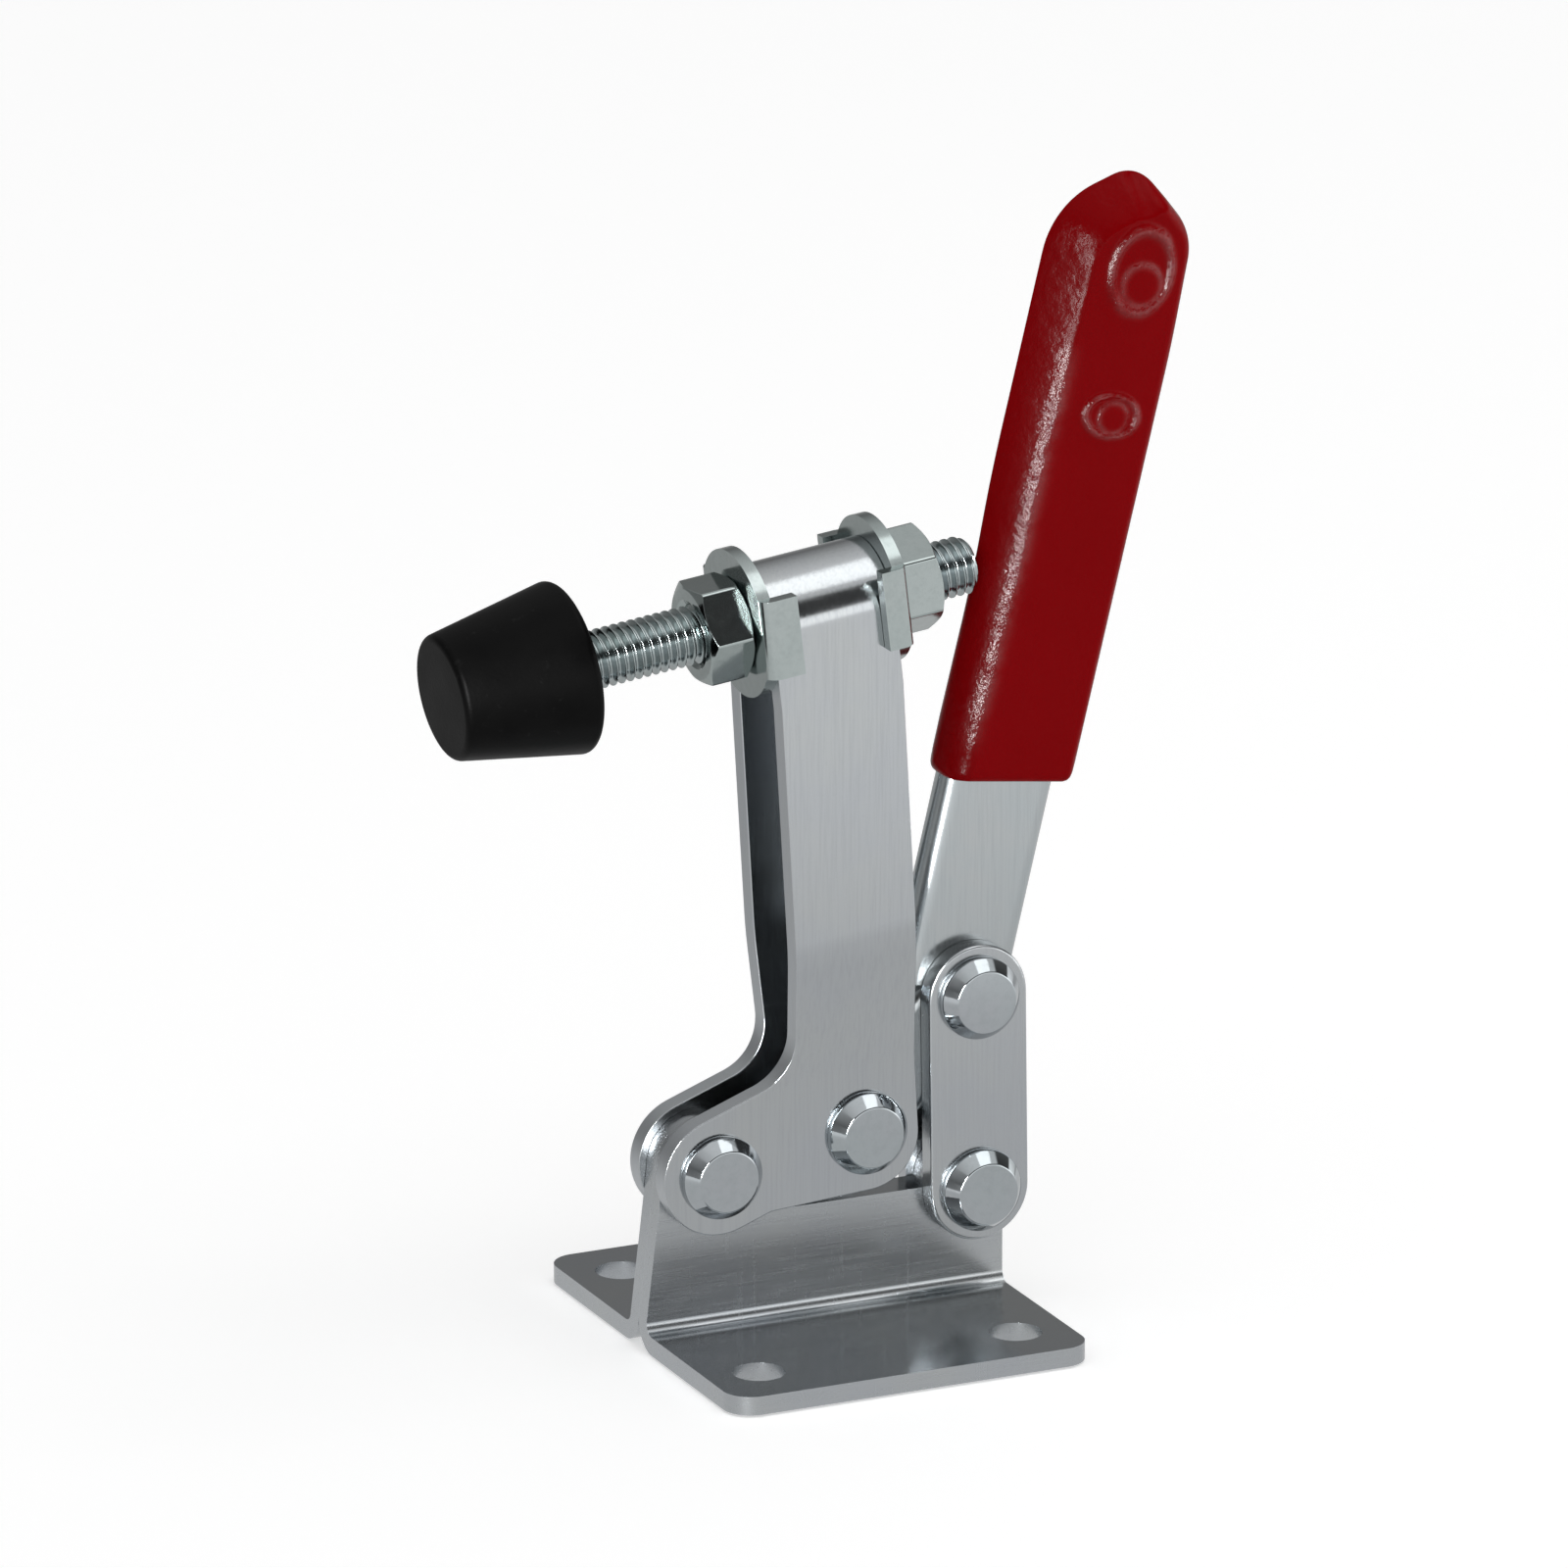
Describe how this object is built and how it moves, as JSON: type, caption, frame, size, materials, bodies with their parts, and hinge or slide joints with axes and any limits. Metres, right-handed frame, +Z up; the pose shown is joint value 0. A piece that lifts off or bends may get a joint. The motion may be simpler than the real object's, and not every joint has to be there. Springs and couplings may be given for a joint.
{
  "type": "toggle clamp",
  "caption": "Hold-down toggle clamp with a flanged base, a folded bar, a linked lever handle with a dipped grip, and a threaded spindle with a rubber tip.",
  "frame": {"origin": "centre of the base's hole pattern, on the underside of the base", "axes": "+X to the handle side, -X to the spindle's rubber tip, -Y the near side of the picture, +Z up"},
  "size_m": [0.1095, 0.063, 0.1558],
  "materials": {
    "zinc_base": "bright zinc plate, lightly brushed",
    "zinc_bar": "bright zinc plate, lightly brushed",
    "zinc_lever": "bright zinc plate, lightly brushed",
    "red_vinyl": "dipped vinyl, satin gloss",
    "zinc_link": "bright zinc plate, lightly brushed",
    "zinc_rivet": "bright zinc plate, lightly brushed",
    "bush_steel": "bright zinc plate, lightly brushed",
    "zinc_thread": "bright zinc plate, lightly brushed",
    "black_rubber": "moulded rubber, dull",
    "zinc_nut": "bright zinc plate, lightly brushed",
    "zinc_washer": "bright zinc plate, lightly brushed"
  },
  "bodies": {
    "base": {"base_near_half": "zinc_base", "base_far_half": "zinc_base", "link_foot_bush": "bush_steel"},
    "bar": {"u_bar": "zinc_bar", "base_to_bar_rivet": "zinc_rivet", "bar_pivot_bush": "bush_steel", "bar_to_handle_rivet": "zinc_rivet", "handle_pivot_bush": "bush_steel", "front_washer": "zinc_washer", "rear_washer": "zinc_washer", "front_nut": "zinc_nut", "rear_nut": "zinc_nut"},
    "handle": {"handle_lever": "zinc_lever", "hand_grip": "red_vinyl"},
    "links": {"near_link": "zinc_link", "far_link": "zinc_link", "handle_to_link_rivet": "zinc_rivet", "link_top_bush": "bush_steel", "near_link_foot_rivet": "zinc_rivet", "far_link_foot_rivet": "zinc_rivet"},
    "spindle": {"spindle": "zinc_thread", "rubber_tip": "black_rubber"}
  },
  "joints": [
    {"name": "bar_pivot", "type": "hinge", "parent": "base", "child": "bar", "pos_m": [-0.0169, 0, 0.0246], "axis": [0, -1, 0], "range_deg": [0, 90.92]},
    {"name": "handle_pivot", "type": "hinge", "parent": "bar", "child": "handle", "pos_m": [0.0046, 0, 0.02785], "axis": [0, -1, 0], "range_deg": [-170.29, 0]},
    {"name": "link_pivot", "type": "hinge", "parent": "handle", "child": "links", "pos_m": [0.02135, 0, 0.04465], "axis": [0, -1, 0], "range_deg": [0, 134.25]},
    {"name": "spindle_adjust", "type": "slide", "parent": "bar", "child": "spindle", "axis": [-0.993, 0, -0.1184], "range_m": [0, 0.006]}
  ],
  "couplings": [
    {"joint": "handle_pivot", "follows": "bar_pivot", "ratio": -1.8728},
    {"joint": "link_pivot", "follows": "bar_pivot", "ratio": 1.4765}
  ]
}
